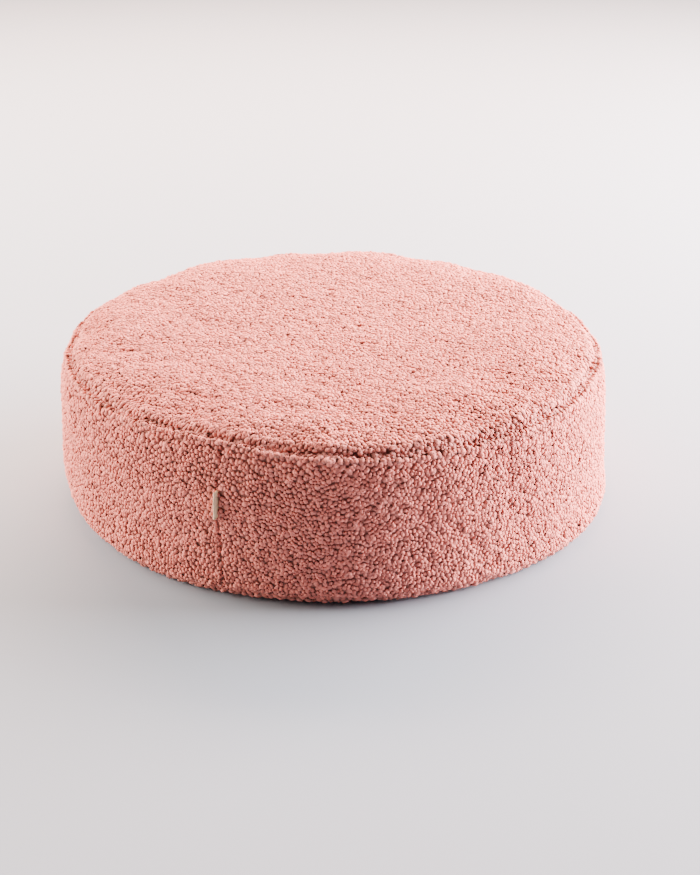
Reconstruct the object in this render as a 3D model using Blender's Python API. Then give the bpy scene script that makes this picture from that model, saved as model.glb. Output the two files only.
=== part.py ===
"""Round floor ottoman in looped-pile cloth, with a folded label tab in its side seam.

Metres, +Z up. The origin is the middle of the flat underside, and -Y is the front. The ottoman is one filled
cushion: a round top panel, a side band and a round bottom panel, sewn together. Its seams are drawn-in
channels. The surface built here is the one that the tips of the pile reach.
"""

import math

import bmesh
import bpy
import numpy as np

# Overall size of the filled cushion.
DIAMETER = 0.650
HEIGHT = 0.200

# The lean and the rolls beside the seams reach this much further than the plain side does.
OVERHANG = 0.0011
RADIUS = DIAMETER / 2 - OVERHANG

# Crown and shoulder: a superellipse from the middle of the top down to the straight side.
SHOULDER_HEIGHT = 0.118
SHOULDER_POWER = 7.15

# Lower roll: a superellipse from the straight side down to the edge of the flat underside.
FOOT_RADIUS = 0.284
ROLL_HEIGHT = 0.0255
ROLL_POWER = 2.9

# The filling has slumped, so the top sits a little to the left and the base to the right.
LEAN = 0.006
LEAN_MIDDLE = 0.100

# Seams. An angle runs from the front (-Y) towards the right (+X), in degrees.
TOP_SEAM_HEIGHT = 0.1785
BOTTOM_SEAM_HEIGHT = 0.0095
SIDE_SEAM_ANGLE = -22.5
TOP_SEAM_DEPTH = 0.0064
BOTTOM_SEAM_DEPTH = 0.0040
SIDE_SEAM_DEPTH = 0.0034
TOP_SEAM_WIDTH = 0.0040
BOTTOM_SEAM_WIDTH = 0.0045
SIDE_SEAM_WIDTH = 0.0032

# The side seam wavers a little on its way up: most at this height, by this turn, over this half-rise.
SIDE_SEAM_WAVER = {"height": 0.102, "turn": -0.5, "rise": 0.032}

# The edge of the cloth on each side of the top seam rolls over its turned-in seam allowance.
BAND_ROLL = {"rise": 0.0018, "away": 0.0095, "width": 0.0050}
PANEL_ROLL = {"rise": 0.0008, "away": -0.0110, "width": 0.0070}

# The seam climbs onto the top where the cover was pulled round. Columns: angle, climb, spread.
SEAM_CLIMBS = (
    {"angle": -27.0, "climb": 0.0125, "spread": 20.0},
    {"angle": -72.0, "climb": 0.0045, "spread": 24.0},
    {"angle": 74.0, "climb": 0.0020, "spread": 12.0},
    {"angle": 150.0, "climb": 0.0030, "spread": 40.0},
)

# Puckers of the cloth beside the top seam. Columns: waves round the cushion, height, starting angle.
PUCKERS = (
    {"waves": 9, "height": 0.0009, "start": 20.0},
    {"waves": 17, "height": 0.0008, "start": 75.0},
    {"waves": 26, "height": 0.0007, "start": 140.0},
)
PUCKER_REACH = 0.030

# The side seam's channel fades out within these distances of the seams above and below it. All relief fades
# out within the last height above the floor, so the underside is flat.
SIDE_SEAM_TOP_FADE = 0.012
SIDE_SEAM_BOTTOM_FADE = 0.008
FLOOR_FADE = 0.006

# Shallow dents where the filling has settled. Columns: region, angle, place (height on the band, radius on
# the top), depth, half-width across and half-width along.
DENTS = (
    {"on": "band", "angle": 17.0, "place": 0.110, "depth": 0.0022, "across": 0.020, "along": 0.045},
    {"on": "band", "angle": 36.0, "place": 0.085, "depth": 0.0026, "across": 0.017, "along": 0.055},
    {"on": "band", "angle": -52.0, "place": 0.080, "depth": 0.0020, "across": 0.030, "along": 0.050},
    {"on": "band", "angle": 110.0, "place": 0.095, "depth": 0.0024, "across": 0.024, "along": 0.050},
    {"on": "band", "angle": 205.0, "place": 0.100, "depth": 0.0022, "across": 0.028, "along": 0.048},
    {"on": "top", "angle": -8.0, "place": 0.235, "depth": 0.0022, "across": 0.045, "along": 0.016},
    {"on": "top", "angle": -60.0, "place": 0.190, "depth": 0.0020, "across": 0.060, "along": 0.020},
    {"on": "top", "angle": 55.0, "place": 0.225, "depth": 0.0024, "across": 0.050, "along": 0.022},
    {"on": "top", "angle": 160.0, "place": 0.170, "depth": 0.0020, "across": 0.070, "along": 0.035},
)

# Where the filling pushes the cover out or leaves it slack. Columns: angle, height, how far out, half-turn,
# half-rise.
FULLNESS = (
    {"angle": 62.0, "height": 0.008, "out": 0.0050, "turn": 24.0, "rise": 0.020},
    {"angle": 20.0, "height": 0.008, "out": -0.0010, "turn": 22.0, "rise": 0.030},
    {"angle": -40.0, "height": 0.008, "out": 0.0026, "turn": 24.0, "rise": 0.030},
    {"angle": 84.0, "height": 0.060, "out": -0.0016, "turn": 24.0, "rise": 0.045},
    {"angle": -84.0, "height": 0.055, "out": 0.0030, "turn": 26.0, "rise": 0.040},
    {"angle": -78.0, "height": 0.012, "out": -0.0016, "turn": 20.0, "rise": 0.020},
    {"angle": 98.0, "height": 0.165, "out": -0.0020, "turn": 30.0, "rise": 0.045},
    {"angle": -98.0, "height": 0.160, "out": -0.0014, "turn": 26.0, "rise": 0.040},
    {"angle": 180.0, "height": 0.192, "out": -0.0014, "turn": 80.0, "rise": 0.016},
)

# Rings of the cushion from the middle of the top to the underside. A ring lies at a share of the way between
# two seams, moved along the cloth by an offset.
TOP_RINGS = (
    {"share": 0.16, "offset": 0.0},
    {"share": 0.32, "offset": 0.0},
    {"share": 0.47, "offset": 0.0},
    {"share": 0.60, "offset": 0.0},
    {"share": 0.72, "offset": 0.0},
    {"share": 0.82, "offset": 0.0},
    {"share": 0.89, "offset": 0.0},
    {"share": 1.0, "offset": -0.0210},
    {"share": 1.0, "offset": -0.0130},
    {"share": 1.0, "offset": -0.0075},
    {"share": 1.0, "offset": -0.0035},
    {"share": 1.0, "offset": 0.0},
)
BAND_RINGS = (
    {"share": 0.0, "offset": 0.0035},
    {"share": 0.0, "offset": 0.0070},
    {"share": 0.0, "offset": 0.0110},
    {"share": 0.0, "offset": 0.0160},
    {"share": 0.0, "offset": 0.0240},
    {"share": 0.26, "offset": 0.0},
    {"share": 0.38, "offset": 0.0},
    {"share": 0.50, "offset": 0.0},
    {"share": 0.62, "offset": 0.0},
    {"share": 0.74, "offset": 0.0},
    {"share": 0.84, "offset": 0.0},
    {"share": 1.0, "offset": -0.0140},
    {"share": 1.0, "offset": -0.0080},
    {"share": 1.0, "offset": -0.0038},
    {"share": 1.0, "offset": 0.0},
)
BOTTOM_RINGS = (
    {"share": 0.0, "offset": 0.0038},
    {"share": 0.0, "offset": 0.0080},
    {"share": 0.0, "offset": 0.0150},
    {"share": 0.0, "offset": 0.0260},
    {"share": 0.0, "offset": 0.0400},
)

# Columns round the cushion: evenly spaced ones, and closer ones across the side seam.
EVEN_COLUMNS = 90
SEAM_COLUMN_OFFSETS = (-0.0120, -0.0072, -0.0036, -0.0014, 0.0014, 0.0036, 0.0072, 0.0120)
WAVER_SPREAD = 8.0

# Folded label tab: a tape folded once, with its cut ends held in the side seam.
TAB_HEIGHT = 0.031
TAB_MIDDLE_HEIGHT = 0.118
TAB_REACH = 0.0078
TAB_LAYER = 0.0006
TAB_GAP = 0.0005
TAB_BOW = 0.0006
TAB_LEAN = 0.0022
TAB_ROOT_GAP = 0.0005
TAB_ROWS = 9
FOLD_STEPS = 8

# How finely the outline is worked out, and how far each side of a point its slope is measured.
PROFILE_STEPS = 600
SLOPE_STEP = 0.002

# Faces that meet at more than this many degrees keep a sharp edge, as at the tape's ends.
SHARP_EDGE = 50

CUSHION_PINK = (0.72, 0.36, 0.31, 1.0)
TAPE_IVORY = (0.62, 0.53, 0.42, 1.0)


def clear_scene():
    """Removes the objects that a new file starts with."""
    for thing in list(bpy.data.objects):
        bpy.data.objects.remove(thing)


def cloth_material(name, colour, roughness):
    """A matt cloth material of one colour."""
    material = bpy.data.materials.new(name)
    material.use_nodes = True
    shader = material.node_tree.nodes["Principled BSDF"]
    shader.inputs["Base Color"].default_value = colour
    shader.inputs["Roughness"].default_value = roughness
    shader.inputs["Metallic"].default_value = 0.0
    material.diffuse_color = colour
    return material


def outline():
    """Radius, height and distance along the cloth, from the middle of the top to the underside's edge."""
    turn = np.linspace(0.0, math.pi / 2, PROFILE_STEPS)
    shoulder = 2 / SHOULDER_POWER
    roll = 2 / ROLL_POWER
    upper_radius = RADIUS * np.sin(turn) ** shoulder
    upper_height = HEIGHT - SHOULDER_HEIGHT + SHOULDER_HEIGHT * np.cos(turn) ** shoulder
    lower_radius = FOOT_RADIUS + (RADIUS - FOOT_RADIUS) * np.cos(turn) ** roll
    lower_height = ROLL_HEIGHT * (1 - np.sin(turn) ** roll)
    radius = np.concatenate([upper_radius, lower_radius])
    height = np.concatenate([upper_height, lower_height])
    steps = np.hypot(np.diff(radius), np.diff(height))
    distance = np.concatenate([[0.0], np.cumsum(steps)])
    return radius, height, distance


RADII, HEIGHTS, DISTANCES = outline()


def distance_at_height(height):
    """How far along the cloth from the middle of the top a given height on the side is."""
    return float(np.interp(-height, -HEIGHTS, DISTANCES))


TOP_SEAM = distance_at_height(TOP_SEAM_HEIGHT)
BOTTOM_SEAM = distance_at_height(BOTTOM_SEAM_HEIGHT)


def angle_between(first, second):
    """The signed angle from second to first, in degrees, by the shorter way round."""
    return (first - second + 180.0) % 360.0 - 180.0


def bump(value, width):
    """A smooth bell of height 1."""
    return math.exp(-((value / width) ** 2))


def channel(value, width):
    """A narrow valley's shape, sharper than a bell, of height 1."""
    return math.exp(-((abs(value) / width) ** 1.5))


def top_seam_at(angle):
    """Where the top seam lies along the cloth at this angle."""
    climbs = (row["climb"] * bump(angle_between(angle, row["angle"]), row["spread"]) for row in SEAM_CLIMBS)
    return TOP_SEAM - sum(climbs)


def side_seam_at(height):
    """The angle of the side seam at this height."""
    row = SIDE_SEAM_WAVER
    return SIDE_SEAM_ANGLE + row["turn"] * bump(height - row["height"], row["rise"])


def puckers_at(angle, along):
    """Height of the seam's puckers at this angle and distance along the cloth."""
    away = abs(along - top_seam_at(angle))
    waves = (row["height"] * math.sin(math.radians(row["waves"] * angle + row["start"])) for row in PUCKERS)
    return sum(waves) * math.exp(-away / PUCKER_REACH)


def dents_at(angle, radius, height):
    """Depth of the settled dents at a place on the cushion."""
    depth = 0.0
    for row in DENTS:
        across = radius * math.radians(angle_between(angle, row["angle"]))
        along = (height if row["on"] == "band" else radius) - row["place"]
        on_band = height < TOP_SEAM_HEIGHT
        if on_band == (row["on"] == "band"):
            depth += row["depth"] * bump(across, row["across"]) * bump(along, row["along"])
    return depth


def fullness_at(angle, height):
    """How far the filling pushes the cover out at this angle and height."""
    total = 0.0
    for row in FULLNESS:
        around = bump(angle_between(angle, row["angle"]), row["turn"])
        total += row["out"] * around * bump(height - row["height"], row["rise"])
    return total


def relief_at(angle, along, radius, height):
    """How far the surface stands out from the plain outline."""
    seam = top_seam_at(angle)
    past_top = along - seam
    relief = -TOP_SEAM_DEPTH * channel(past_top, TOP_SEAM_WIDTH)
    relief -= BOTTOM_SEAM_DEPTH * channel(along - BOTTOM_SEAM, BOTTOM_SEAM_WIDTH)
    for roll in (BAND_ROLL, PANEL_ROLL):
        relief += roll["rise"] * bump(past_top - roll["away"], roll["width"])
    if seam < along < BOTTOM_SEAM:
        across = RADIUS * math.radians(angle_between(angle, side_seam_at(height)))
        from_top = (along - seam) / SIDE_SEAM_TOP_FADE
        from_bottom = (BOTTOM_SEAM - along) / SIDE_SEAM_BOTTOM_FADE
        ends = min(1.0, from_top, from_bottom)
        relief -= SIDE_SEAM_DEPTH * channel(across, SIDE_SEAM_WIDTH) * ends
    relief += puckers_at(angle, along)
    relief += fullness_at(angle, height) - dents_at(angle, radius, height)
    return relief * min(1.0, height / FLOOR_FADE)


def lean_at(height):
    """How far to the right the cushion sits at this height."""
    return LEAN * (LEAN_MIDDLE - height) / HEIGHT


def cushion_point(angle, along):
    """The point of the cushion's surface at this angle and distance along the cloth."""
    radius = float(np.interp(along, DISTANCES, RADII))
    height = float(np.interp(along, DISTANCES, HEIGHTS))
    beside = (along - SLOPE_STEP, along + SLOPE_STEP)
    run = float(np.diff(np.interp(beside, DISTANCES, RADII))[0])
    fall = float(-np.diff(np.interp(beside, DISTANCES, HEIGHTS))[0])
    length = math.hypot(run, fall)
    relief = relief_at(angle, along, radius, height)
    radius += relief * fall / length
    height = max(0.0, height + relief * run / length)
    turned = math.radians(angle)
    return (radius * math.sin(turned) + lean_at(height), -radius * math.cos(turned), height)


def column_angles():
    """The angles of the cushion's columns, closer together across the side seam."""
    close = [SIDE_SEAM_ANGLE + math.degrees(offset / RADIUS) for offset in SEAM_COLUMN_OFFSETS]
    widest = math.degrees(max(SEAM_COLUMN_OFFSETS) / RADIUS)
    turn = 360.0 / EVEN_COLUMNS
    first_even = math.ceil(widest / turn)
    even = [SIDE_SEAM_ANGLE + turn * step for step in range(first_even, EVEN_COLUMNS - first_even + 1)]
    return sorted(angle_between(angle, 0.0) for angle in [SIDE_SEAM_ANGLE] + even + close)


def following_seam(angle, along):
    """A column's angle at this distance along the cloth: near the side seam it wavers with it."""
    height = float(np.interp(along, DISTANCES, HEIGHTS))
    waver = side_seam_at(height) - SIDE_SEAM_ANGLE
    return angle + waver * bump(angle_between(angle, SIDE_SEAM_ANGLE), WAVER_SPREAD)


def ring_distances(angle):
    """Distances along the cloth of every ring at this angle."""
    seam = top_seam_at(angle)
    underside = DISTANCES[-1]
    spans = ((TOP_RINGS, 0.0, seam), (BAND_RINGS, seam, BOTTOM_SEAM), (BOTTOM_RINGS, BOTTOM_SEAM, underside))
    found = []
    for rows, start, end in spans:
        found += [min(underside, start + row["share"] * (end - start) + row["offset"]) for row in rows]
    return found


def make_cushion(material):
    """The filled cushion: rings of points joined by faces, closed by a fan on top and a flat face below."""
    mesh = bmesh.new()
    columns = []
    for angle in column_angles():
        places = [(following_seam(angle, along), along) for along in ring_distances(angle)]
        columns.append([mesh.verts.new(cushion_point(*place)) for place in places])
    top = mesh.verts.new((lean_at(HEIGHT), 0.0, HEIGHT))
    for here, beside in zip(columns, columns[1:] + columns[:1]):
        mesh.faces.new((top, here[0], beside[0]))
        for upper in range(len(here) - 1):
            lower = upper + 1
            mesh.faces.new((here[upper], here[lower], beside[lower], beside[upper]))
    mesh.faces.new([column[-1] for column in reversed(columns)])
    bmesh.ops.recalc_face_normals(mesh, faces=mesh.faces)
    return add_object("cushion", mesh, material)


def seam_floor_at(height):
    """The highest that the side seam's channel comes under the tab at this height."""
    along = distance_at_height(height)
    reach = math.degrees((TAB_GAP / 2 + TAB_LAYER) / RADIUS)
    seam = side_seam_at(height)
    beside = (seam - reach, seam, seam + reach)
    return max(relief_at(angle, along, RADIUS, height) for angle in beside)


def tab_section(root):
    """Outline of the folded tape seen from above: distance out of the seam, and sideways."""
    outer_turn = TAB_GAP / 2 + TAB_LAYER
    inner_turn = TAB_GAP / 2
    straight = TAB_REACH - outer_turn
    turns = [math.pi * step / FOLD_STEPS - math.pi / 2 for step in range(FOLD_STEPS + 1)]
    outer = [(straight + outer_turn * math.cos(t), outer_turn * math.sin(t)) for t in turns]
    inner = [(straight + inner_turn * math.cos(t), inner_turn * math.sin(t)) for t in turns]
    outside = [(root, outer[0][1])] + outer + [(root, outer[-1][1])]
    inside = [(root, inner[0][1])] + inner + [(root, inner[-1][1])]
    return outside + inside[::-1]


def tab_row(share):
    """Points of the folded tape's outline at a share of the way up it, standing out of the side seam."""
    height = TAB_MIDDLE_HEIGHT + (share - 0.5) * TAB_HEIGHT
    bow = TAB_BOW * math.sin(math.pi * share) - TAB_LEAN
    turned = math.radians(side_seam_at(height))
    out = (math.sin(turned), -math.cos(turned))
    side = (math.cos(turned), math.sin(turned))
    points = []
    for reach, sideways in tab_section(seam_floor_at(height) + TAB_ROOT_GAP):
        moved = sideways + bow * max(0.0, reach) / TAB_REACH
        place = RADIUS + reach
        x = out[0] * place + side[0] * moved + lean_at(height)
        y = out[1] * place + side[1] * moved
        points.append((x, y, height))
    return points


def make_label_tab(material):
    """The folded label tab: its outline at several heights, joined by faces and closed at both ends."""
    mesh = bmesh.new()
    shares = [step / (TAB_ROWS - 1) for step in range(TAB_ROWS)]
    rows = [[mesh.verts.new(point) for point in tab_row(share)] for share in shares]
    count = len(rows[0])
    for low, high in zip(rows, rows[1:]):
        for k in range(count):
            mesh.faces.new((low[k], low[(k + 1) % count], high[(k + 1) % count], high[k]))
    mesh.faces.new(rows[0][::-1])
    mesh.faces.new(rows[-1])
    bmesh.ops.triangulate(mesh, faces=[face for face in mesh.faces if len(face.verts) == count])
    bmesh.ops.recalc_face_normals(mesh, faces=mesh.faces)
    return add_object("label_tab", mesh, material)


def add_object(name, mesh, material):
    """Puts a finished mesh in the scene as a smooth-shaded object."""
    data = bpy.data.meshes.new(name)
    mesh.to_mesh(data)
    mesh.free()
    data.shade_smooth()
    data.set_sharp_from_angle(angle=math.radians(SHARP_EDGE))
    data.materials.append(material)
    thing = bpy.data.objects.new(name, data)
    bpy.context.scene.collection.objects.link(thing)
    return thing


clear_scene()
make_cushion(cloth_material("looped_pile_pink", CUSHION_PINK, 0.95))
make_label_tab(cloth_material("cotton_tape_ivory", TAPE_IVORY, 0.85))
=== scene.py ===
"""Looks of the round floor ottoman: a filled cushion in looped-pile cloth, and a label tab of folded tape.

Metres, +Z up, the front at -Y. The cushion's shape is worked out again at a finer grain than in the frame.
Angles run from the front towards the right, in degrees. "Along" is the distance along the cloth from the
middle of the top, over the shoulder and down the side.
"""

import math

import bpy
import numpy as np
from mathutils import Matrix, Vector


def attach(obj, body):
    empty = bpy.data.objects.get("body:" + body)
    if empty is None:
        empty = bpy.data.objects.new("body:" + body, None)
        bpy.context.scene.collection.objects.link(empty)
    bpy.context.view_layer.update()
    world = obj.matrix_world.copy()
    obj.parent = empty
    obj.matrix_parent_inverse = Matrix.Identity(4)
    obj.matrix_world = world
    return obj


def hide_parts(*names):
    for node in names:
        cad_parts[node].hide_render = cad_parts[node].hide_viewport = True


# Overall shape of the cushion, to the tips of the pile.
OVERHANG = 0.0011
RADIUS = 0.650 / 2 - OVERHANG
HEIGHT = 0.200
SHOULDER_HEIGHT = 0.118
SHOULDER_POWER = 7.15
FOOT_RADIUS = 0.284
ROLL_HEIGHT = 0.0255
ROLL_POWER = 2.9
LEAN = 0.006
LEAN_MIDDLE = 0.100
FLOOR_FADE = 0.006

# Steps of the outline and of its flat underside, the reach over which its slope is taken, and a length so
# short that it counts as none.
PROFILE_STEPS = 4000
FLAT_STEPS = 1000
SLOPE_STEP = 0.002
NO_LENGTH = 1e-12

# Seams. A channel has its depth, and its half-width before and after the stitching.
TOP_SEAM_HEIGHT = 0.1785
BOTTOM_SEAM_HEIGHT = 0.0095
SIDE_SEAM_ANGLE = -22.5
SIDE_SEAM_WAVER = {"height": 0.102, "turn": -0.5, "rise": 0.032}
TOP_SEAM = {"depth": 0.0034, "before": 0.0030, "after": 0.0017}
BOTTOM_SEAM = {"depth": 0.0040, "before": 0.0045, "after": 0.0045}
SIDE_SEAM = {"depth": 0.0028, "before": 0.0020, "after": 0.0020}
CHANNEL_POWER = 1.5
SIDE_SEAM_TOP_FADE = 0.012
SIDE_SEAM_BOTTOM_FADE = 0.008
BAND_ROLL = {"rise": 0.0032, "away": 0.0068, "width": 0.0042}
PANEL_ROLL = {"rise": 0.0014, "away": -0.0125, "width": 0.0070}
PUCKER_REACH = 0.030

# Where the top seam climbs onto the top. Columns: angle, climb, spread.
SEAM_CLIMBS = (
    {"angle": -27.0, "climb": 0.0125, "spread": 20.0},
    {"angle": -72.0, "climb": 0.0045, "spread": 24.0},
    {"angle": 74.0, "climb": 0.0020, "spread": 12.0},
    {"angle": 150.0, "climb": 0.0030, "spread": 40.0},
)

# Puckers beside the top seam. Columns: waves round the cushion, height, starting angle.
PUCKERS = (
    {"waves": 9, "height": 0.0009, "start": 20.0},
    {"waves": 17, "height": 0.0008, "start": 75.0},
    {"waves": 26, "height": 0.0007, "start": 140.0},
)

# Where the filling pushes the cover out or leaves it slack. Columns: angle, height, how far out, half-turn,
# half-rise.
FULLNESS = (
    {"angle": 62.0, "height": 0.008, "out": 0.0050, "turn": 24.0, "rise": 0.020},
    {"angle": 20.0, "height": 0.008, "out": -0.0010, "turn": 22.0, "rise": 0.030},
    {"angle": -40.0, "height": 0.008, "out": 0.0026, "turn": 24.0, "rise": 0.030},
    {"angle": 84.0, "height": 0.060, "out": -0.0016, "turn": 24.0, "rise": 0.045},
    {"angle": -84.0, "height": 0.055, "out": 0.0030, "turn": 26.0, "rise": 0.040},
    {"angle": -78.0, "height": 0.012, "out": -0.0016, "turn": 20.0, "rise": 0.020},
    {"angle": 98.0, "height": 0.165, "out": -0.0020, "turn": 30.0, "rise": 0.045},
    {"angle": -98.0, "height": 0.160, "out": -0.0014, "turn": 26.0, "rise": 0.040},
    {"angle": 180.0, "height": 0.192, "out": -0.0014, "turn": 80.0, "rise": 0.016},
)

# Shallow dents and soft wrinkles. Columns: angle, place (height on the band, radius on the top), depth,
# half-width across, half-width along, and how far the dent is turned from lying across.
BAND_DENTS = (
    {"angle": 17.0, "place": 0.110, "depth": 0.0022, "across": 0.020, "along": 0.045, "turned": 0.0},
    {"angle": 40.0, "place": 0.085, "depth": 0.0016, "across": 0.017, "along": 0.055, "turned": 0.0},
    {"angle": 36.5, "place": 0.125, "depth": 0.0022, "across": 0.006, "along": 0.045, "turned": 0.0},
    {"angle": 28.0, "place": 0.062, "depth": 0.0022, "across": 0.006, "along": 0.038, "turned": 42.0},
    {"angle": -5.0, "place": 0.152, "depth": 0.0012, "across": 0.065, "along": 0.013, "turned": 0.0},
    {"angle": -52.0, "place": 0.080, "depth": 0.0020, "across": 0.030, "along": 0.050, "turned": 0.0},
    {"angle": 110.0, "place": 0.095, "depth": 0.0024, "across": 0.024, "along": 0.050, "turned": 0.0},
    {"angle": 205.0, "place": 0.100, "depth": 0.0022, "across": 0.028, "along": 0.048, "turned": 0.0},
)
TOP_DENTS = (
    {"angle": -8.0, "place": 0.235, "depth": 0.0022, "across": 0.045, "along": 0.016, "turned": 0.0},
    {"angle": -60.0, "place": 0.190, "depth": 0.0020, "across": 0.060, "along": 0.020, "turned": 0.0},
    {"angle": 55.0, "place": 0.225, "depth": 0.0024, "across": 0.050, "along": 0.022, "turned": 0.0},
    {"angle": 160.0, "place": 0.170, "depth": 0.0020, "across": 0.070, "along": 0.035, "turned": 0.0},
    {"angle": -4.0, "place": 0.200, "depth": 0.0018, "across": 0.040, "along": 0.006, "turned": 40.0},
    {"angle": -40.0, "place": 0.245, "depth": 0.0020, "across": 0.034, "along": 0.006, "turned": -14.0},
    {"angle": -66.0, "place": 0.225, "depth": 0.0022, "across": 0.008, "along": 0.030, "turned": 24.0},
    {"angle": -77.0, "place": 0.250, "depth": 0.0020, "across": 0.007, "along": 0.026, "turned": 15.0},
    {"angle": 46.0, "place": 0.265, "depth": 0.0020, "across": 0.007, "along": 0.024, "turned": -20.0},
    {"angle": 53.0, "place": 0.268, "depth": 0.0018, "across": 0.006, "along": 0.022, "turned": -10.0},
)

# The cloth's ground, under the pile. Rows and columns lie closer at the seams, and the evenly spaced ones
# keep clear of those by a share of their own step.
GROUND_DEPTH = 0.0031
GROUND_COLUMNS = 220
GROUND_STEP = 0.0075
GROUND_LOWEST = 0.0008
SEAM_ROWS = (-0.0100, -0.0060, -0.0035, -0.0015, 0.0, 0.0015, 0.0035, 0.0060, 0.0100)
ROWS_CLEAR = 0.45
COLUMNS_CLEAR = 0.4

# How far down the band the seam's climb still shifts the cloth, and the step over which normals are taken.
CLIMB_FADE = 0.060
NORMAL_STEP = 0.0012

# How the cover settles on its filling. What lies nearer the middle of the top than SETTLE_TOP_HELD is held.
SETTLE_COLUMNS = 96
SETTLE_TOP_HELD = 0.105
SETTLE_PLACES = np.concatenate([[0.060, SETTLE_TOP_HELD], np.arange(0.120, 0.620, 0.0085)])
SETTLE_SMALLER = 0.002
SETTLE_CLOTH = {
    "quality": 6,
    "mass": 0.4,
    "tension_stiffness": 18,
    "compression_stiffness": 18,
    "shear_stiffness": 8,
    "bending_stiffness": 1.5,
    "use_pressure": True,
    "uniform_pressure_force": 4.0,
    "shrink_min": -0.02,
    "vertex_group_mass": "pins",
}
SETTLE_FRAMES = 20
SETTLE_CAP = 0.0016
SETTLE_SMOOTHINGS = 3

# The curls of the pile stand on a lattice of golden angles, in three sorts by size, each with so many points
# round it. Shares of a curl's size: half-width, how much longer than wide, half-height, and unevenness.
CURL_SORTS = {"small": 5, "middle": 5, "large": 6}
CURL_SIZES = {"spread": 0.20, "least": 0.65, "most": 1.40}
CURL = {"wide": 0.54, "longer": 0.40, "tall": 0.41, "lumpy": 0.18}
CURL_UNEVEN = 0.0003
CURL_RINGS = (50.0, 98.0)
HEX_SHARE = 0.866
GOLDEN_ANGLE = 137.50776
SHAKE = 0.38
PUSHES = 15
PUSH_SHARE = 0.30
PUSH_REACH = 1.10
NEIGHBOUR_STEPS = (1, 2, 3, 5, 8, 13, 21, 34, 55, 89, 144, 233, 377, 610, 987)
SEAM_MARGIN = 0.15
FLOOR_CLEARANCE = 0.0002

# Curls are larger beside the top seam, and some stand up enough to lie over a seam: the top seam in the first
# row, the side seam in the second. What isn't on the band counts as far from the side seam.
SEAM_CURL_REACH = 0.014
SEAM_CURL_GROWTH = 0.25
BRIDGES = (
    {"reach": 0.0035, "rise": 0.0016},
    {"reach": 0.0030, "rise": 0.0012},
)
FAR = 1.0

# The curls gather into clumps along a field of crossed waves, and lean with it.
CLUMP_WAVES = 28
CLUMP_LENGTHS = (0.011, 0.022)
CLUMP_PULL = 0.0004
CLUMP_RISE = 0.0003
CURL_LEAN = 0.20

# Each curl tilts by chance. One whose normal points up by more than UPRIGHT is turned from another guide.
CURL_TILT = 0.15
UPRIGHT = 0.9

# The most that "tip" comes to on the highest points of a curl, where it paints a highlight, and the share of
# it that the channel of the top seam takes away, which paints shade into the seam.
TIP_MOST = 1.2
SEAM_SHADE = 0.35

# Label tab: the folded tape's size and place, its layers and the gap between them, how it bows, wavers and
# leans to the side, how its fold is crushed, how deep its cut ends sit in the seam, and its grid.
TAB_HEIGHT = 0.0325
TAB_MIDDLE_HEIGHT = 0.1165
TAB_REACH = 0.0065
TAB_LAYER = 0.0006
TAB_GAP = 0.0004
TAB_BOW = 0.0006
TAB_WAVER = {"side": 0.0003, "half_turns": 2.2, "start": 0.6}
TAB_LEAN = 0.0014
TAB_SAG = 0.0030
TAB_ROOT = 0.0030
TAB_STEPS = 10
TAB_ROWS = 25

# Colours of the materials, in sRGB hex.
# The pile's tip colour, paler than the curls' own pink at their sides, is a painted highlight.
PILE_TIP_PAINTED_HIGHLIGHT = "EF8676"
PILE_SIDE = "D18379"
# The pile's deep colour is painted shade in the valleys between the curls.
PILE_DEEP_PAINTED_SHADE = "AE776C"
# The ground's pink is the cloth's own, made darker as painted shade in the gaps between the curls.
GROUND = "AA6D61"
TAPE = "F2D8B0"
FLOOR = "97A2AC"
SURROUND = "FBFAFA"
SHEEN = "F2A99A"
TONE_SPREAD = 0.09

# From the deep colour in the valleys, which is painted shade, the pile's colour goes towards each of these,
# between two values of "tip"; the last, at the curls' tips, is a painted highlight.
PILE_STEPS = (
    {"colour": PILE_SIDE, "lowest": 0.25, "highest": 0.60},
    {"colour": PILE_TIP_PAINTED_HIGHLIGHT, "lowest": 0.60, "highest": 1.05},
)

# Sizes of the fine patterns. The tape's rib is given per radian of its wave, and the wave texture multiplies
# its scale by a factor.
LOOP_SIZE = 0.0017
LOOP_DEPTH = 0.0009
KNIT_SIZE = 0.0012
KNIT_DEPTH = 0.0004
TAPE_RIB = 0.0006
TAPE_RIB_DEPTH = 0.00012
WAVE_FACTOR = 20

# Studio. Light sizes and places are in metres.
TARGET = (0.0, 0.0, 0.100)
CAMERA = {"lens": 90.51, "shift": (0.01774, -0.03673), "elevation": 24.0, "distance": 2.642}
FLOOR_HALF = 8.0
WORLD_STRENGTH = 0.05
LIGHTS = (
    {"name": "right", "at": (2.0, 0.63, 0.50), "size": (2.3, 1.6), "watts": 960, "colour": "FFEEF0"},
    {"name": "left", "at": (-1.9, 0.53, 0.50), "size": (2.5, 1.8), "watts": 365, "colour": "FFECE0"},
    {"name": "overhead", "at": (0.1, 2.1, 1.5), "size": (3.2, 1.2), "watts": 580, "colour": "FFCFB8"},
)

RANDOM = np.random.default_rng(6520)


def linear(code):
    """The linear colour of an sRGB hex code."""
    values = [int(code[i : i + 2], 16) / 255 for i in (0, 2, 4)]
    return tuple(v / 12.92 if v <= 0.04045 else ((v + 0.055) / 1.055) ** 2.4 for v in values) + (1.0,)


def add_node(tree, kind, values=None, inputs=None, links=None):
    """Adds a shader node, sets its properties and inputs, and links its inputs from other nodes' outputs."""
    node = tree.nodes.new(kind)
    for name, value in (values or {}).items():
        setattr(node, name, value)
    for name, value in (inputs or {}).items():
        node.inputs[name].default_value = value
    for name, output in (links or {}).items():
        tree.links.new(output, node.inputs[name])
    return node


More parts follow.
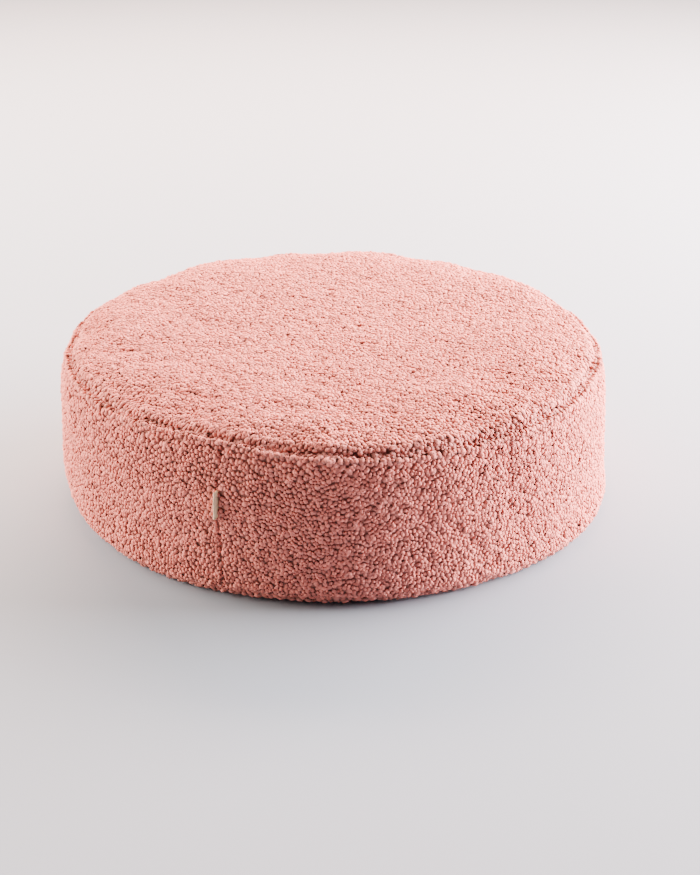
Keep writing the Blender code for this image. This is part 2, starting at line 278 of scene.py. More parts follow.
def outline():
    """Radius, height and distance along the cloth: a superellipse from the middle of the top to the side, and
    another from the side to the edge of the flat underside, carried on flat to the middle below."""
    turn = np.linspace(0.0, math.pi / 2, PROFILE_STEPS)
    shoulder = 2 / SHOULDER_POWER
    roll = 2 / ROLL_POWER
    upper_radius = RADIUS * np.sin(turn) ** shoulder
    upper_height = HEIGHT - SHOULDER_HEIGHT + SHOULDER_HEIGHT * np.cos(turn) ** shoulder
    lower_radius = FOOT_RADIUS + (RADIUS - FOOT_RADIUS) * np.cos(turn) ** roll
    lower_height = ROLL_HEIGHT * (1 - np.sin(turn) ** roll)
    flat = np.linspace(FOOT_RADIUS, 0.0, FLAT_STEPS)[1:]
    radius = np.concatenate([upper_radius, lower_radius, flat])
    height = np.concatenate([upper_height, lower_height, np.zeros(len(flat))])
    distance = np.concatenate([[0.0], np.cumsum(np.hypot(np.diff(radius), np.diff(height)))])
    return radius, height, distance


RADII, HEIGHTS, DISTANCES = outline()
END = float(DISTANCES[-1])


def along_at_height(height):
    """How far along the cloth a height on the side is."""
    side = 2 * PROFILE_STEPS
    return float(np.interp(-height, -HEIGHTS[:side], DISTANCES[:side]))


TOP_SEAM_ALONG = along_at_height(TOP_SEAM_HEIGHT)
BOTTOM_SEAM_ALONG = along_at_height(BOTTOM_SEAM_HEIGHT)


# The panels' pile: where each panel starts and ends along the cloth, the curls' pitch, and the depth below a
# curl's tip at which its painted shade is darkest.
PANELS = (
    {"name": "top_pile", "first": 0.0, "last": TOP_SEAM_ALONG, "pitch": 0.0047, "shaded": 0.0021},
    {"name": "band_pile", "first": TOP_SEAM_ALONG, "last": BOTTOM_SEAM_ALONG, "pitch": 0.0047,
     "shaded": 0.0029},
    {"name": "base_pile", "first": BOTTOM_SEAM_ALONG, "last": END, "pitch": 0.0075, "shaded": 0.0029},
)


def angle_between(first, second):
    """The signed angle from second to first, in degrees, by the shorter way round."""
    return (first - second + 180.0) % 360.0 - 180.0


def bump(value, width):
    """A smooth bell of height 1."""
    return np.exp(-((value / width) ** 2))


def channel(value, row):
    """The depth of a seam's channel at this distance from the stitching, which may be steeper on one side."""
    width = np.where(value < 0, row["before"], row["after"])
    return row["depth"] * np.exp(-((np.abs(value) / width) ** CHANNEL_POWER))


def top_seam_at(angle):
    """Where the top seam lies along the cloth."""
    climbs = (row["climb"] * bump(angle_between(angle, row["angle"]), row["spread"]) for row in SEAM_CLIMBS)
    return TOP_SEAM_ALONG - sum(climbs)


def side_seam_at(height):
    """The angle of the side seam, which wavers a little on its way up."""
    row = SIDE_SEAM_WAVER
    return SIDE_SEAM_ANGLE + row["turn"] * bump(height - row["height"], row["rise"])


def across_side_seam(angle, height):
    """The distance round the band from the side seam."""
    return RADIUS * np.radians(angle_between(angle, side_seam_at(height)))


def puckers_at(angle, along):
    """The seam's puckers: three waves round the cushion that fade away from the seam."""
    away = np.abs(along - top_seam_at(angle))
    waves = (row["height"] * np.sin(np.radians(row["waves"] * angle + row["start"])) for row in PUCKERS)
    return sum(waves) * np.exp(-away / PUCKER_REACH)


def dents_at(angle, radius, height):
    """The depth of the dents and wrinkles: each is a bell across times a bell along."""
    below = height < TOP_SEAM_HEIGHT
    depth = np.zeros_like(radius)
    for rows, place, here in ((BAND_DENTS, height, below), (TOP_DENTS, radius, ~below)):
        for row in rows:
            across = radius * np.radians(angle_between(angle, row["angle"]))
            along = place - row["place"]
            turned = math.radians(row["turned"])
            sideways = across * math.cos(turned) + along * math.sin(turned)
            lengthways = along * math.cos(turned) - across * math.sin(turned)
            depth += here * row["depth"] * bump(sideways, row["across"]) * bump(lengthways, row["along"])
    return depth


def fullness_at(angle, height):
    """How far the filling pushes the cover out."""
    total = np.zeros_like(height)
    for row in FULLNESS:
        around = bump(angle_between(angle, row["angle"]), row["turn"])
        total += row["out"] * around * bump(height - row["height"], row["rise"])
    return total


def relief_at(angle, along, radius, height):
    """How far the surface stands out from the plain outline: channels, rolls, puckers, fullness and dents."""
    seam = top_seam_at(angle)
    past_top = along - seam
    relief = -channel(past_top, TOP_SEAM) - channel(along - BOTTOM_SEAM_ALONG, BOTTOM_SEAM)
    for roll in (BAND_ROLL, PANEL_ROLL):
        relief = relief + roll["rise"] * bump(past_top - roll["away"], roll["width"])
    from_top = past_top / SIDE_SEAM_TOP_FADE
    from_bottom = (BOTTOM_SEAM_ALONG - along) / SIDE_SEAM_BOTTOM_FADE
    on_band = np.clip(np.minimum(from_top, from_bottom), 0.0, 1.0)
    relief = relief - channel(across_side_seam(angle, height), SIDE_SEAM) * on_band
    relief = relief + puckers_at(angle, along) + fullness_at(angle, height) - dents_at(angle, radius, height)
    return relief * np.clip(height / FLOOR_FADE, 0.0, 1.0)


def lean_at(height):
    """How far to the right the cushion sits at this height."""
    return LEAN * (LEAN_MIDDLE - height) / HEIGHT


def surface(angle, along):
    """Points of the cushion's surface, and the outward directions of the plain outline there.

    The point is the outline's, moved along its outward direction by the relief."""
    radius = np.interp(along, DISTANCES, RADII)
    height = np.interp(along, DISTANCES, HEIGHTS)
    low = np.clip(along - SLOPE_STEP, 0.0, END)
    high = np.clip(along + SLOPE_STEP, 0.0, END)
    run = np.interp(high, DISTANCES, RADII) - np.interp(low, DISTANCES, RADII)
    fall = np.interp(low, DISTANCES, HEIGHTS) - np.interp(high, DISTANCES, HEIGHTS)
    length = np.hypot(run, fall)
    out, up = fall / length, run / length
    moved = relief_at(angle, along, radius, height)
    turned = np.radians(angle)
    reach = radius + moved * out
    level = height + moved * up
    points = np.stack([reach * np.sin(turned) + lean_at(level), -reach * np.cos(turned), level], axis=-1)
    outward = np.stack([out * np.sin(turned), -out * np.cos(turned), up], axis=-1)
    return points, outward


def new_object(name, points, faces, material, smooth=True):
    """An object at the origin, from arrays of points and of faces that all have as many corners."""
    mesh = bpy.data.meshes.new(name)
    corners = faces.shape[1]
    mesh.vertices.add(len(points))
    mesh.vertices.foreach_set("co", np.ascontiguousarray(points, np.float32).ravel())
    mesh.loops.add(faces.size)
    mesh.loops.foreach_set("vertex_index", np.ascontiguousarray(faces, np.int32).ravel())
    mesh.polygons.add(len(faces))
    mesh.polygons.foreach_set("loop_start", np.arange(0, faces.size, corners, dtype=np.int32))
    mesh.polygons.foreach_set("use_smooth", np.full(len(faces), smooth))
    mesh.update(calc_edges=True)
    mesh.validate()
    mesh.materials.append(material)
    thing = bpy.data.objects.new(name, mesh)
    bpy.context.scene.collection.objects.link(thing)
    return thing


def climb_at(angle):
    """How far the top seam has climbed onto the top."""
    return TOP_SEAM_ALONG - top_seam_at(angle)


def along_of(angle, place):
    """Distance along the cloth of a place numbered as it would be with no climb: the climb shifts the cloth
    on both sides of the seam, less and less towards the middle of the top and down the band."""
    above = place / TOP_SEAM_ALONG
    below = (TOP_SEAM_ALONG + CLIMB_FADE - place) / CLIMB_FADE
    return place - climb_at(angle) * np.clip(np.minimum(above, below), 0.0, 1.0)


def cloth(angle, place, settled=None):
    """Points and outward normals of the cloth at angles and places: the cushion's surface, moved as the
    simulation found. A normal is the cross product of the surface's two slopes."""
    half_turn = NORMAL_STEP / RADIUS
    found = {}
    for name, turn, move in (("here", 0, 0), ("left", -1, 0), ("right", 1, 0), ("up", 0, -1), ("down", 0, 1)):
        near = angle + math.degrees(half_turn) * turn
        spot = np.clip(place + NORMAL_STEP * move, 0.0, END)
        points, outward = surface(near, along_of(near, spot))
        if settled is not None:
            points = points + outward * settled_at(settled, near, spot)[..., None]
        found[name] = points if name != "here" else (points, outward)
    here, outward = found["here"]
    normal = np.cross(found["right"] - found["left"], found["up"] - found["down"])
    length = np.linalg.norm(normal, axis=-1, keepdims=True)
    normal = np.where(length > NO_LENGTH, normal / np.maximum(length, NO_LENGTH), outward)
    return here, normal


def grid_faces(rows, columns):
    """Faces of a grid of rows round the cushion: quads between rows, its last column joined to its first."""
    row, column = np.meshgrid(np.arange(rows - 1), np.arange(columns), indexing="ij")
    beside = (column + 1) % columns
    here, right = row * columns + column, row * columns + beside
    return np.stack([here, here + columns, right + columns, right], axis=-1).reshape(-1, 4)


def closed_shell(name, grid, top, bottom, material):
    """A closed object from a grid of points: its quads split in two, and a fan of triangles at each end."""
    rows, columns = grid.shape[:2]
    quads = grid_faces(rows, columns)
    split = np.concatenate([quads[:, [0, 1, 2]], quads[:, [0, 2, 3]]])
    column = np.arange(columns)
    beside = (column + 1) % columns
    last = (rows - 1) * columns
    top_index, bottom_index = rows * columns, rows * columns + 1
    upper = np.stack([np.full(columns, top_index), column, beside], axis=-1)
    lower = np.stack([np.full(columns, bottom_index), last + beside, last + column], axis=-1)
    points = np.concatenate([grid.reshape(-1, 3), [top, bottom]])
    return new_object(name, points, np.concatenate([split, upper, lower]), material)


def grid_places(step):
    """Places of the grid's rows: evenly spaced ones, and closer ones at the two seams round the cushion."""
    even = np.arange(step, END, step)
    near = [seam + offset for seam in (TOP_SEAM_ALONG, BOTTOM_SEAM_ALONG) for offset in SEAM_ROWS]
    clear = [min(abs(place - close) for close in near) > step * ROWS_CLEAR for place in even]
    return np.sort(np.concatenate([even[clear], near]))


def grid_angles(columns):
    """Angles of the grid's columns: evenly spaced ones, and closer ones at the side seam."""
    turn = 360.0 / columns
    close = [SIDE_SEAM_ANGLE + math.degrees(offset / RADIUS) for offset in SEAM_ROWS]
    first = math.ceil((math.degrees(max(SEAM_ROWS) / RADIUS) + COLUMNS_CLEAR * turn) / turn)
    even = [SIDE_SEAM_ANGLE + turn * step for step in range(first, columns - first + 1)]
    return np.array(close + even)


def settle_cloth():
    """Lets the cover swell against its filling, and returns how far each place moved outward.

    A coarse copy of the cloth is inflated by Blender's cloth solver. Its seams, the middle of the top and the
    underside are pinned. The movement's own mean is taken off, so that the cushion keeps its size, and each
    place then takes half of its own movement and a quarter of each neighbour's, a few times over."""
    angles = np.arange(0.0, 360.0, 360.0 / SETTLE_COLUMNS)
    places = np.sort(np.concatenate([SETTLE_PLACES, [TOP_SEAM_ALONG, BOTTOM_SEAM_ALONG]]))
    points, normals = cloth(angles[None, :], places[:, None])
    points = points - normals * SETTLE_SMALLER
    top, bottom = (cloth(np.zeros(1), np.array([end]))[0][0] for end in (0.0, END))
    thing = closed_shell("settling", points, top, bottom, None)
    moved = simulate(thing, pins_of(places, len(angles)))
    rest = points.reshape(-1, 3)
    outward = ((moved[: len(rest)] - rest) * normals.reshape(-1, 3)).sum(axis=1).reshape(points.shape[:2])
    bpy.data.objects.remove(thing)
    outward -= outward.mean(axis=1, keepdims=True)
    for _ in range(SETTLE_SMOOTHINGS):
        outward = outward / 2 + (np.roll(outward, 1, axis=1) + np.roll(outward, -1, axis=1)) / 4
        outward[1:-1] = outward[1:-1] / 2 + (outward[2:] + outward[:-2]) / 4
    return {"angles": angles, "places": places, "outward": np.clip(outward, -SETTLE_CAP, SETTLE_CAP)}


def pins_of(places, columns):
    """Pin weights of the settling cloth's points: 1 at the seams, on the middle of the top and underneath."""
    held = (places < SETTLE_TOP_HELD) | (places > BOTTOM_SEAM_ALONG)
    held |= np.abs(places - TOP_SEAM_ALONG) < NO_LENGTH
    weights = np.repeat(held.astype(float)[:, None], columns, axis=1)
    return np.concatenate([weights.ravel(), [1.0, 1.0]])


def simulate(thing, weights):
    """Runs the cloth solver on an object and returns where its points ended."""
    pins = thing.vertex_groups.new(name=SETTLE_CLOTH["vertex_group_mass"])
    for weight in np.unique(weights):
        pins.add([int(i) for i in np.flatnonzero(weights == weight)], float(weight), "REPLACE")
    modifier = thing.modifiers.new("settle", "CLOTH")
    for name, value in SETTLE_CLOTH.items():
        setattr(modifier.settings, name, value)
    modifier.settings.effector_weights.gravity = 0
    scene = bpy.context.scene
    modifier.point_cache.frame_start = 1
    modifier.point_cache.frame_end = SETTLE_FRAMES
    for frame in range(1, SETTLE_FRAMES + 1):
        scene.frame_set(frame)
    evaluated = thing.evaluated_get(bpy.context.evaluated_depsgraph_get())
    mesh = evaluated.to_mesh()
    found = np.empty(len(mesh.vertices) * 3, np.float32)
    mesh.vertices.foreach_get("co", found)
    evaluated.to_mesh_clear()
    scene.frame_set(1)
    return found.reshape(-1, 3).astype(float)


def settled_at(settled, angle, place):
    """The settled movement at angles and places, read between the four nearest points of its grid."""
    angles, places, outward = settled["angles"], settled["places"], settled["outward"]
    turn = 360.0 / len(angles)
    column = (angle % 360.0) / turn
    left = np.floor(column).astype(int) % len(angles)
    right = (left + 1) % len(angles)
    sideways = column - np.floor(column)
    row = np.interp(place, places, np.arange(len(places)))
    upper = np.clip(np.floor(row).astype(int), 0, len(places) - 2)
    down = row - upper
    above = outward[upper, left] * (1 - sideways) + outward[upper, right] * sideways
    below = outward[upper + 1, left] * (1 - sideways) + outward[upper + 1, right] * sideways
    return above * (1 - down) + below * down


def make_ground(settled, material):
    """The cloth under the pile: a closed shell a pile's depth inside the cushion's surface."""
    angles, places = grid_angles(GROUND_COLUMNS), grid_places(GROUND_STEP)
    points, normal = cloth(angles[None, :], places[:, None], settled)
    points = points - normal * GROUND_DEPTH
    points[..., 2] = np.maximum(points[..., 2], GROUND_LOWEST)
    top = np.array([lean_at(HEIGHT), 0.0, HEIGHT - GROUND_DEPTH])
    bottom = np.array([lean_at(0.0), 0.0, GROUND_LOWEST])
    return closed_shell("cushion_cloth", points, top, bottom, material)


def sites(start, end, pitch):
    """Where the curls of one panel stand, and their sizes. Each takes the same area of cloth: site k lies
    where k shares of the area have been passed, turned by k golden angles. The sites are then shaken, and
    pushed apart again."""
    places = np.linspace(start, end, PROFILE_STEPS)
    radius = np.interp(places, DISTANCES, RADII)
    strip = 0.5 * (radius[1:] + radius[:-1]) * np.diff(places) * 2 * math.pi
    area = np.concatenate([[0.0], np.cumsum(strip)])
    count = int(area[-1] / (HEX_SHARE * pitch**2))
    size = RANDOM.normal(1.0, CURL_SIZES["spread"], count)
    size = pitch * np.clip(size, CURL_SIZES["least"], CURL_SIZES["most"])
    place = np.interp((np.arange(count) + 0.5) / count * area[-1], area, places)
    size *= 1 + SEAM_CURL_GROWTH * bump(place - TOP_SEAM_ALONG, SEAM_CURL_REACH)
    reach = np.maximum(np.interp(place, DISTANCES, RADII), pitch)
    turned = np.radians(np.arange(count) * GOLDEN_ANGLE)
    turned = turned + RANDOM.normal(0.0, SHAKE * pitch, count) / reach
    place = place + RANDOM.normal(0.0, SHAKE * pitch, count)
    edge = SEAM_MARGIN * pitch
    for _ in range(PUSHES):
        turned, place = pushed_apart(turned, np.clip(place, start + edge, end - edge), size)
    return np.degrees(turned) % 360.0, np.clip(place, start + edge, end - edge), size


def pushed_apart(turned, place, size):
    """Sites after one step of pushing each other apart.

    On a lattice of golden angles the neighbours of a site come a Fibonacci number of sites before and after
    it. Two that are closer than their sizes allow each move by a share of what is missing, along the line
    between them."""
    reach = np.maximum(np.interp(place, DISTANCES, RADII), size)
    around, down = np.zeros_like(turned), np.zeros_like(place)
    for step in NEIGHBOUR_STEPS:
        first, second = slice(None, -step), slice(step, None)
        turn = (turned[second] - turned[first] + math.pi) % (2 * math.pi) - math.pi
        across = turn * 0.5 * (reach[first] + reach[second])
        fall = place[second] - place[first]
        distance = np.maximum(np.hypot(across, fall), NO_LENGTH)
        wanted = PUSH_REACH * 0.5 * (size[first] + size[second])
        share = PUSH_SHARE * np.clip(wanted / distance - 1, 0.0, 1.0)
        around[first] -= share * across
        around[second] += share * across
        down[first] -= share * fall
        down[second] += share * fall
    return turned + around / reach, place + down


def clump_waves():
    """Crossed waves in random directions whose sum says where the curls gather."""
    directions = RANDOM.normal(size=(CLUMP_WAVES, 3))
    directions /= np.linalg.norm(directions, axis=1, keepdims=True)
    lengths = RANDOM.uniform(*CLUMP_LENGTHS, CLUMP_WAVES)
    return directions * (2 * math.pi / lengths)[:, None], RANDOM.uniform(0, 2 * math.pi, CLUMP_WAVES)


def clumps_at(points, waves):
    """The clump field, of about unit size, and the direction in which it rises along the cloth."""
    numbers, starts = waves
    phase = points @ numbers.T + starts
    scale = math.sqrt(2 / len(numbers))
    steepness = np.linalg.norm(numbers, axis=1).mean()
    return np.sin(phase).sum(axis=1) * scale, (np.cos(phase) @ numbers) * scale / steepness


def curl_template(sides):
    """A curl's closed form on a unit ball: directions of its points, and faces. Its points are a tip and two
    rings, the lower turned by half a step, and its foot is flat."""
    turn = np.arange(sides) * 2 * math.pi / sides
    rings = []
    for fall, shift in zip(np.radians(CURL_RINGS), (0.0, math.pi / sides)):
        level = np.full(sides, math.cos(fall))
        around = turn + shift
        rings.append(np.stack([math.sin(fall) * np.cos(around), math.sin(fall) * np.sin(around), level], 1))
    here = np.arange(sides)
    beside = (here + 1) % sides
    upper, lower = 1 + here, 1 + sides + here
    tip = np.stack([np.zeros(sides, int), upper, 1 + beside], 1)
    down = np.stack([upper, lower, 1 + beside], 1)
    up = np.stack([1 + beside, lower, 1 + sides + beside], 1)
    middle = lower[1:-1]
    foot = np.stack([np.full(sides - 2, 1 + sides), middle + 1, middle], 1)
    return np.concatenate([[[0.0, 0.0, 1.0]], *rings]), np.concatenate([tip, down, up, foot])


def curl_directions(normal, turned):
    """Two directions along the cloth for each curl, turned about its normal by its own angle."""
    guide = np.where(np.abs(normal[:, 2:]) < UPRIGHT, [[0.0, 0.0, 1.0]], [[1.0, 0.0, 0.0]])
    side = np.cross(guide, normal)
    side /= np.linalg.norm(side, axis=1, keepdims=True)
    ahead = np.cross(normal, side)
    first = side * np.cos(turned) + ahead * np.sin(turned)
    return first, np.cross(normal, first)


def bridging(angle, place, on_band):
    """How far the curls beside the top seam and the side seam stand up, so as to lie over the stitching."""
    height = np.interp(place, DISTANCES, HEIGHTS)
    from_side = np.where(on_band, np.abs(across_side_seam(angle, height)), FAR)
    beside = (np.abs(place - TOP_SEAM_ALONG), from_side)
    chance = RANDOM.uniform(0.0, 1.0, len(angle))
    return sum(row["rise"] * chance * bump(away, row["reach"]) for away, row in zip(beside, BRIDGES))


def make_pile(name, spots, sides, panel, waves, settled, material):
    """Part of one panel's pile: a joined mesh of curls, each an uneven ball leaning with its clump. A point
    is centre + (wide u + long v + tall n) times its direction times its unevenness."""
    angle, place, size = spots
    points, normal = cloth(angle, place, settled)
    height, rising = clumps_at(points, waves)
    rising -= (rising * normal).sum(axis=1, keepdims=True) * normal
    count = len(points)
    wide = CURL["wide"] * size
    long = wide * (1 + RANDOM.uniform(0.0, CURL["longer"], count))
    tall = CURL["tall"] * size
    u, v = curl_directions(normal, RANDOM.uniform(0, 2 * math.pi, count)[:, None])
    out = height * CLUMP_RISE - tall + RANDOM.normal(0.0, CURL_UNEVEN, count)
    out += bridging(angle, place, panel["name"] == "band_pile")
    centre = points + rising * CLUMP_PULL + normal * out[:, None]
    tilt = RANDOM.normal(0.0, CURL_TILT, (2, count, 1))
    upright = normal + rising * CURL_LEAN + u * tilt[0] + v * tilt[1]
    directions, faces = curl_template(sides)
    uneven = 1 + RANDOM.uniform(-CURL["lumpy"], CURL["lumpy"], (count, len(directions), 1))
    axes = np.stack([wide[:, None] * u, long[:, None] * v, tall[:, None] * upright], axis=1)
    curls = centre[:, None, :] + (directions[None] @ axes) * uneven
    below = tall[:, None] - ((curls - centre[:, None, :]) * normal[:, None, :]).sum(axis=2)
    curls[..., 2] = np.maximum(curls[..., 2], FLOOR_CLEARANCE)
    index = faces[None] + (np.arange(count) * len(directions))[:, None, None]
    thing = new_object(name, curls.reshape(-1, 3), index.reshape(-1, 3), material)
    # The "tip" attribute paints light and shade into the pile's colour: a highlight on the curls' tips, shade
    # deep between them and in the top seam's channel.
    sunk = channel(place - TOP_SEAM_ALONG, TOP_SEAM) / TOP_SEAM["depth"]
    tip = np.clip(1 - below / panel["shaded"], 0.0, TIP_MOST) * (1 - SEAM_SHADE * sunk)[:, None]
    tone = np.repeat(RANDOM.normal(0.0, 1.0, count)[:, None], len(directions), axis=1)
    add_attribute(thing, "tip", tip.ravel())
    add_attribute(thing, "tone", tone.ravel())
    return thing


def add_attribute(thing, name, values):
    """Stores one number for each point."""
    attribute = thing.data.attributes.new(name, "FLOAT", "POINT")
    attribute.data.foreach_set("value", np.ascontiguousarray(values, np.float32))


def tape_fold():
    """The tape's half turn at the fold, as a radius, and where its straight layers end."""
    turn = TAB_GAP / 2 + TAB_LAYER / 2
    return turn, TAB_REACH - turn - TAB_LAYER / 2


def tape_section():
    """The folded tape's middle line seen from above, as reach out of the seam and sideways, with its
    directions across: one layer straight out, a half turn, and one layer straight back."""
    turn, straight = tape_fold()
    out = np.linspace(-TAB_ROOT, straight, TAB_STEPS)
    angle = np.linspace(-math.pi / 2, math.pi / 2, TAB_STEPS)[1:-1]
    reach = np.concatenate([out, straight + turn * np.cos(angle), out[::-1]])
    one_side, other_side = np.full(TAB_STEPS, -turn), np.full(TAB_STEPS, turn)
    sideways = np.concatenate([one_side, turn * np.sin(angle), other_side])
    across_reach = np.concatenate([np.zeros(TAB_STEPS), np.cos(angle), np.zeros(TAB_STEPS)])
    across_side = np.concatenate([-np.ones(TAB_STEPS), np.sin(angle), np.ones(TAB_STEPS)])
    return reach, sideways, across_reach, across_side


def make_tab(material):
    """The label tab: a closed tape, folded once, bowed a little, its fold crushed unevenly up its height."""
    reach, sideways, across_reach, across_side = tape_section()
    share = np.linspace(0.0, 1.0, TAB_ROWS)[:, None]
    height = TAB_MIDDLE_HEIGHT + (share - 0.5) * TAB_HEIGHT
    outer_reach = np.maximum(reach, 0.0) / TAB_REACH
    waver = TAB_WAVER["side"] * np.sin(TAB_WAVER["half_turns"] * math.pi * share + TAB_WAVER["start"])
    bow = TAB_BOW * np.sin(math.pi * share) + waver - TAB_LEAN * outer_reach
    sag = -TAB_SAG * outer_reach**2 * (share - 0.5) ** 2
    layers = []
    for half in (TAB_LAYER / 2, -TAB_LAYER / 2):
        placed = RADIUS + reach + across_reach * half + sag
        moved = sideways + across_side * half + bow * outer_reach
        layers.append(turned_out(placed, moved, height + np.zeros_like(placed)))
    ring = np.concatenate([layers[0], layers[1][:, ::-1]], axis=1)
    rows, around = ring.shape[:2]
    strip = around // 2
    quads = grid_faces(rows, around)[:, ::-1]
    column = np.arange(strip - 1)
    low = np.stack([column, column + 1, around - 2 - column, around - 1 - column], axis=-1)
    high = (low + (rows - 1) * around)[:, ::-1]
    return new_object("label_tab_tape", ring.reshape(-1, 3), np.concatenate([quads, low, high]), material)


def turned_out(reach, sideways, height):
    """Points at a reach from the cushion's axis in the side seam's direction, moved sideways."""
    turned = np.radians(side_seam_at(height))
    x = reach * np.sin(turned) + sideways * np.cos(turned) + lean_at(height)
    y = -reach * np.cos(turned) + sideways * np.sin(turned)
    return np.stack([x, y, height], axis=-1)


def pile_material():
    """Looped pile: pink curls, with painted shade deeper and redder towards the cloth and in the top seam's
    channel, a painted highlight paler at the tips, a soft sheen, and the single loops of the yarn as a bump."""
    material, tree, shader = new_material("looped_pile_pink")
    tip = add_node(tree, "ShaderNodeAttribute", {"attribute_name": "tip"})
    tone = add_node(tree, "ShaderNodeAttribute", {"attribute_name": "tone"})
    place = add_node(tree, "ShaderNodeTexCoord")
    colour = None
    for row in PILE_STEPS:
        ramp = add_node(
            tree,
            "ShaderNodeMapRange",
            inputs={"From Min": row["lowest"], "From Max": row["highest"]},
            links={"Value": tip.outputs["Fac"]},
        )
        mix = add_node(
            tree,
            "ShaderNodeMix",
            {"data_type": "RGBA"},
            {"A": linear(PILE_DEEP_PAINTED_SHADE), "B": linear(row["colour"])},
            {"Factor": ramp.outputs["Result"]},
        )
        if colour is not None:
            tree.links.new(colour.outputs["Result"], mix.inputs["A"])
        colour = mix
    bright = add_node(
        tree,
        "ShaderNodeMapRange",
        {"clamp": False},
        {"From Min": -1.0, "From Max": 1.0, "To Min": 1 - TONE_SPREAD, "To Max": 1 + TONE_SPREAD},
        {"Value": tone.outputs["Fac"]},
    )
    varied = add_node(
        tree,
        "ShaderNodeHueSaturation",
        links={"Color": colour.outputs["Result"], "Value": bright.outputs["Result"]},
    )
    loops = add_node(
        tree,
        "ShaderNodeTexVoronoi",
        {"feature": "SMOOTH_F1"},
        {"Scale": 1 / LOOP_SIZE, "Smoothness": 0.4},
        {"Vector": place.outputs["Object"]},
    )
    rough = add_node(
        tree,
        "ShaderNodeBump",
        {"invert": True},
        {"Strength": 0.7, "Distance": LOOP_DEPTH},
        {"Height": loops.outputs["Distance"]},
    )
    tree.links.new(varied.outputs["Color"], shader.inputs["Base Color"])
    tree.links.new(rough.outputs["Normal"], shader.inputs["Normal"])
    set_inputs(shader, {"Roughness": 0.95, "Specular IOR Level": 0.03})
    set_inputs(shader, {"Sheen Weight": 0.10, "Sheen Roughness": 0.45, "Sheen Tint": linear(SHEEN)})
    return material


def ground_material():
    """Knitted ground of the pile cloth: deep pink, its own pink made darker than the curls as painted shade
    in the gaps between them; matt, with the rows of its knit as a bump.
    """
    material, tree, shader = new_material("knitted_ground_pink")
    place = add_node(tree, "ShaderNodeTexCoord")
    knit = add_node(
        tree,
        "ShaderNodeTexNoise",
        inputs={"Scale": 1 / KNIT_SIZE, "Detail": 2.0},
        links={"Vector": place.outputs["Object"]},
    )
    rough = add_node(
        tree,
        "ShaderNodeBump",
        inputs={"Strength": 0.5, "Distance": KNIT_DEPTH},
        links={"Height": knit.outputs["Fac"]},
    )
    tree.links.new(rough.outputs["Normal"], shader.inputs["Normal"])
    set_inputs(shader, {"Base Color": linear(GROUND), "Roughness": 0.95, "Specular IOR Level": 0.1})
    return material


def tape_material():
    """Cotton tape: ivory, matt, its ribs a fine bump."""
    material, tree, shader = new_material("cotton_tape_ivory")
    place = add_node(tree, "ShaderNodeTexCoord")
    ribs = add_node(
        tree,
        "ShaderNodeTexWave",
        {"wave_type": "BANDS", "bands_direction": "Z"},
        {"Scale": 1 / (TAPE_RIB * WAVE_FACTOR), "Distortion": 1.2, "Detail": 2.0},
        {"Vector": place.outputs["Object"]},
    )
    rough = add_node(
        tree,
        "ShaderNodeBump",
        inputs={"Strength": 0.5, "Distance": TAPE_RIB_DEPTH},
        links={"Height": ribs.outputs["Fac"]},
    )
    tree.links.new(rough.outputs["Normal"], shader.inputs["Normal"])
    set_inputs(shader, {"Base Color": linear(TAPE), "Roughness": 0.85, "Specular IOR Level": 0.25})
    return material


def new_material(name):
    """A material with its node tree and shader."""
    material = bpy.data.materials.new(name)
    material.use_nodes = True
    return material, material.node_tree, material.node_tree.nodes["Principled BSDF"]


def set_inputs(shader, values):
    """Sets plain values on a shader's sockets."""
    for name, value in values.items():
        shader.inputs[name].default_value = value


def make_floor():
    """A plain pale floor, not part of the object."""
    material, _, shader = new_material("pale_floor")
    set_inputs(shader, {"Base Color": linear(FLOOR), "Roughness": 0.9, "Specular IOR Level": 0.1})
    corners = np.array([[-1, -1, 0], [1, -1, 0], [1, 1, 0], [-1, 1, 0]]) * FLOOR_HALF
    floor = new_object("floor", corners, np.array([[0, 1, 2, 3]]), material, smooth=False)


def add_light(row):
    """A soft rectangular light aimed at the cushion."""
    data = bpy.data.lights.new(row["name"], "AREA")
    data.shape = "RECTANGLE"
    data.size, data.size_y = row["size"]
    data.energy = row["watts"]
    data.color = linear(row["colour"])[:3]
    light = bpy.data.objects.new(row["name"], data)
    aim = Vector(TARGET) - Vector(row["at"])
    light.matrix_world = Matrix.Translation(row["at"]) @ aim.to_track_quat("-Z", "Y").to_matrix().to_4x4()
    bpy.context.scene.collection.objects.link(light)


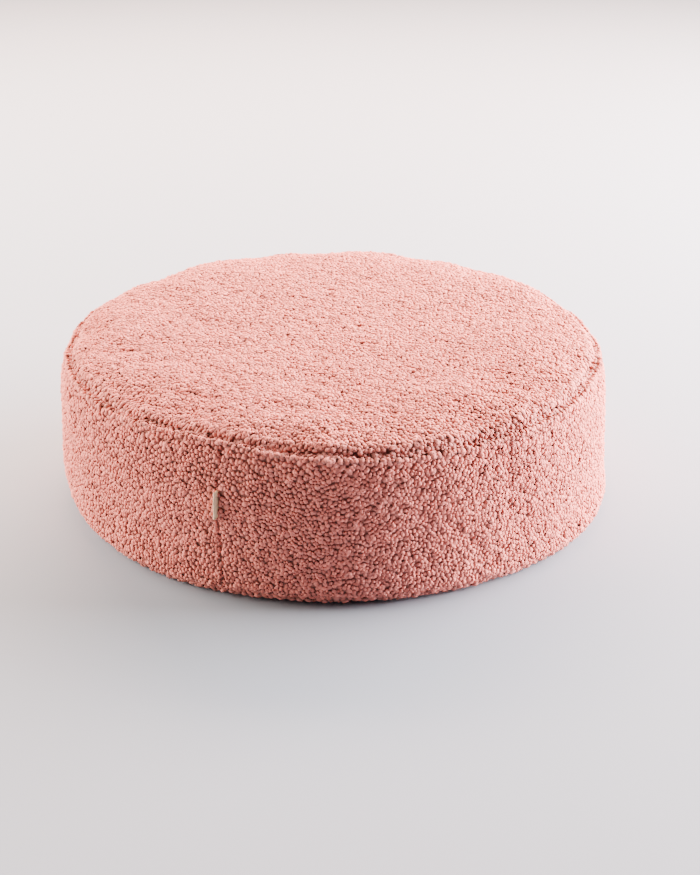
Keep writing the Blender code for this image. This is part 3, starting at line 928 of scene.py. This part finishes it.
def add_world():
    """An even pale surround."""
    world = bpy.data.worlds.new("studio")
    bpy.context.scene.world = world
    world.use_nodes = True
    set_inputs(world.node_tree.nodes["Background"], {"Color": linear(SURROUND), "Strength": WORLD_STRENGTH})


def add_camera():
    """The camera, level from side to side, looking down on the cushion from the front."""
    data = bpy.data.cameras.new("camera")
    data.lens = CAMERA["lens"]
    data.shift_x, data.shift_y = CAMERA["shift"]
    camera = bpy.data.objects.new("camera", data)
    fall = math.radians(CAMERA["elevation"])
    away = Vector((0.0, -math.cos(fall), math.sin(fall))) * CAMERA["distance"]
    place = Vector(TARGET) + away
    camera.matrix_world = Matrix.Translation(place) @ (-away).to_track_quat("-Z", "Y").to_matrix().to_4x4()
    bpy.context.scene.collection.objects.link(camera)
    bpy.context.scene.camera = camera


def wear(thing, node):
    """Puts a finished piece on the object, in place of a node of the frame."""
    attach(thing, "root")
    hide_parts(node)


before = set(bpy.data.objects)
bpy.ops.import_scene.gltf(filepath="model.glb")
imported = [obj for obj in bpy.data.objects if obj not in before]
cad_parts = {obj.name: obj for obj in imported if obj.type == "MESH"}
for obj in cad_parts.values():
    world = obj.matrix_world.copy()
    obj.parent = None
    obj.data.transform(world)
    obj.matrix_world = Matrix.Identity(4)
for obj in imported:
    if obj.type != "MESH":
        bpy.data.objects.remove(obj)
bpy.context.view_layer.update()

settled_cloth = settle_cloth()
gathering = clump_waves()
pile = pile_material()
ground = make_ground(settled_cloth, ground_material())
for panel in PANELS:
    panel_spots = sites(panel["first"], panel["last"], panel["pitch"])
    order = np.argsort(panel_spots[2])
    for sort, chosen in zip(CURL_SORTS, np.array_split(order, len(CURL_SORTS))):
        spots = [values[np.sort(chosen)] for values in panel_spots]
        name = f"{panel['name']}_{sort}"
        piece = make_pile(name, spots, CURL_SORTS[sort], panel, gathering, settled_cloth, pile)
        wear(piece, "cushion")
wear(ground, "cushion")

tab = make_tab(tape_material())
wear(tab, "label_tab")

make_floor()
add_world()
for light_row in LIGHTS:
    add_light(light_row)
add_camera()
